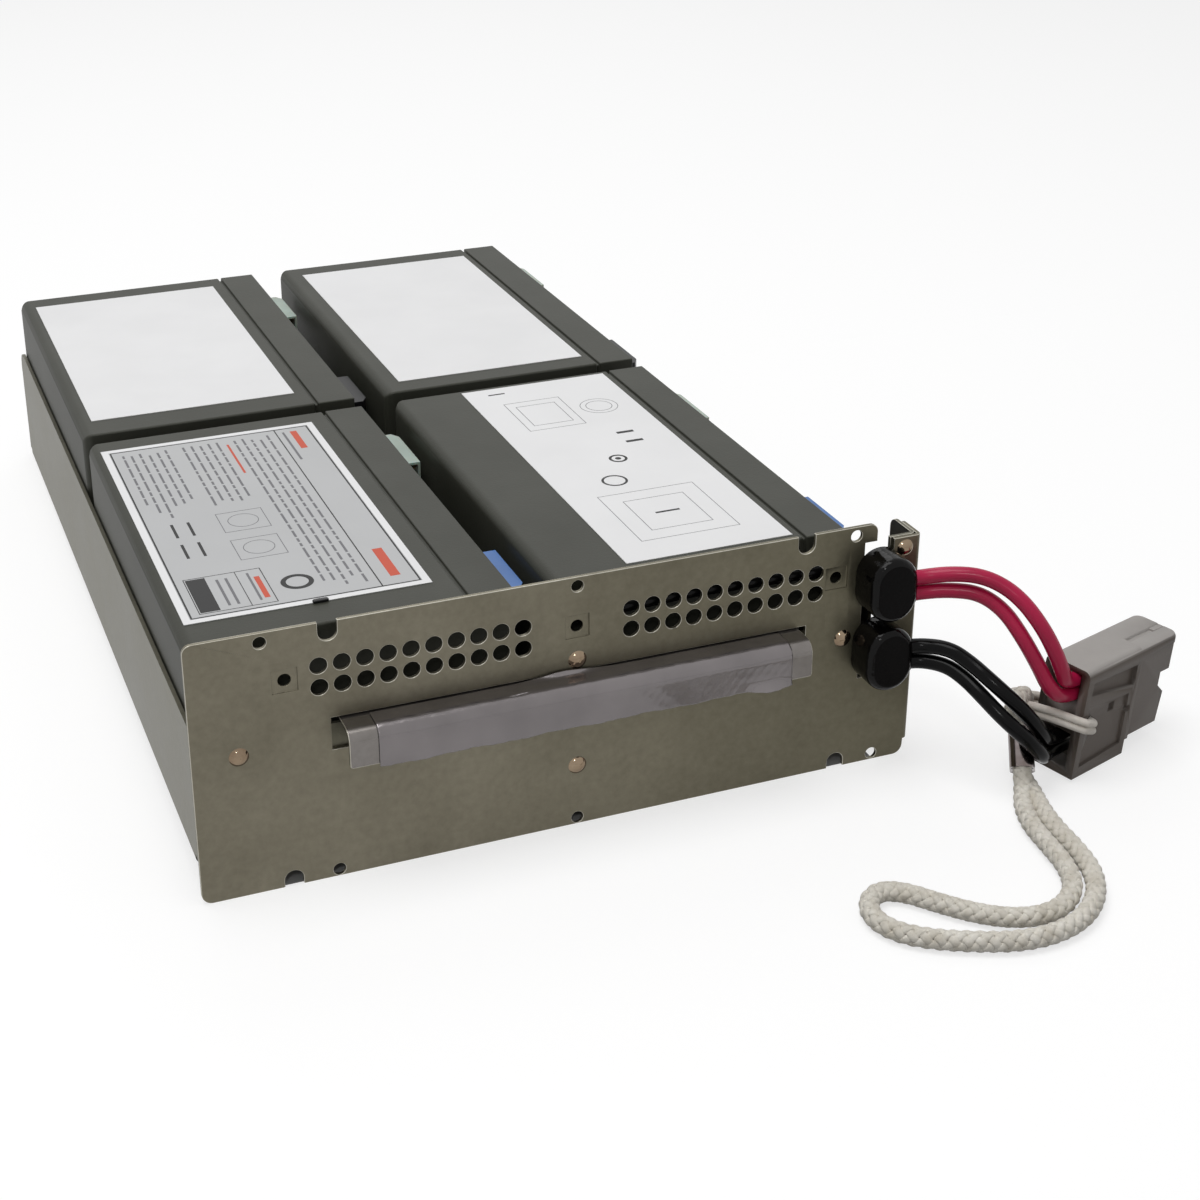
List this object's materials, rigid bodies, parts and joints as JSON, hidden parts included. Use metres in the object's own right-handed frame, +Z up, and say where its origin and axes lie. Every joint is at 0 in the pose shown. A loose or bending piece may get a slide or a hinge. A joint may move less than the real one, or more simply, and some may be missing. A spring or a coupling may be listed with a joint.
{
  "type": "ups battery cartridge",
  "caption": "Sheet steel battery cartridge for a rack UPS: tray of block batteries, vented front panel with pull handle, and a cable connector with a rope.",
  "frame": {"origin": "middle of the object's footprint without its free cables and rope, on the surface it stands on", "axes": "+X to the right as seen from the front panel, +Y from the front panel to the rear, +Z up"},
  "size_m": [0.3054, 0.4228, 0.0811],
  "materials": {
    "tray_steel": "galvanised sheet with a soft sheen",
    "panel_steel": "smooth zinc plated sheet",
    "rivet_metal": "bright domed heads",
    "clear_film": "thin clear film",
    "battery_plastic": "dark grey moulded plastic",
    "label_grey": "pale grey paper label",
    "label_white": "white paper label",
    "label_pale": "pale blank label",
    "tinned_brass": "tin plated blade",
    "pale_vinyl": "milky soft vinyl",
    "blue_vinyl": "soft vinyl",
    "black_vinyl": "soft vinyl",
    "red_insulation": "smooth wire insulation",
    "black_insulation": "smooth wire insulation",
    "black_boot": "glossy shrunk boot",
    "connector_plastic": "warm grey moulded plastic",
    "contact_metal": "silver plated contact",
    "white_rope": "white braid",
    "white_cord": "white twisted cord",
    "sleeve_metal": "pressed bright sleeve"
  },
  "bodies": {
    "root": {"black_cable_lower": "black_insulation", "black_cable_upper": "black_insulation", "black_cover_left": "black_vinyl", "black_cover_right": "black_vinyl", "black_lead_left": "black_insulation", "black_lead_right": "black_insulation", "blue_cover_left": "blue_vinyl", "blue_cover_right": "blue_vinyl", "case_front_left": "battery_plastic", "case_front_right": "battery_plastic", "case_rear_left": "battery_plastic", "case_rear_right": "battery_plastic", "connector_housing": "connector_plastic", "crimp_sleeve": "sleeve_metal", "front_panel": "panel_steel", "handle_film": "clear_film", "jumper_left": "black_insulation", "jumper_right": "black_insulation", "label_front_left": "label_grey", "label_front_right": "label_white", "label_rear_left": "label_pale", "label_rear_right": "label_pale", "lid_front_left": "battery_plastic", "lid_front_right": "battery_plastic", "lid_rear_left": "battery_plastic", "lid_rear_right": "battery_plastic", "lower_boot": "black_boot", "lower_contact": "contact_metal", "pale_cover_front_left": "pale_vinyl", "pale_cover_front_right": "pale_vinyl", "pale_cover_rear_left": "pale_vinyl", "pale_cover_rear_right": "pale_vinyl", "pull_handle": "panel_steel", "pull_rope": "white_rope", "red_cable_lower": "red_insulation", "red_cable_upper": "red_insulation", "red_lead_right": "red_insulation", "rivets": "rivet_metal", "side_bracket": "tray_steel", "sleeved_lead_left": "black_insulation", "terminal_front_left_front": "tinned_brass", "terminal_front_left_rear": "tinned_brass", "terminal_front_right_front": "tinned_brass", "terminal_front_right_rear": "tinned_brass", "terminal_rear_left_front": "tinned_brass", "terminal_rear_left_rear": "tinned_brass", "terminal_rear_right_front": "tinned_brass", "terminal_rear_right_rear": "tinned_brass", "tie_cord": "white_cord", "tray": "tray_steel", "upper_boot": "black_boot", "upper_contact": "contact_metal"}
  },
  "joints": []
}
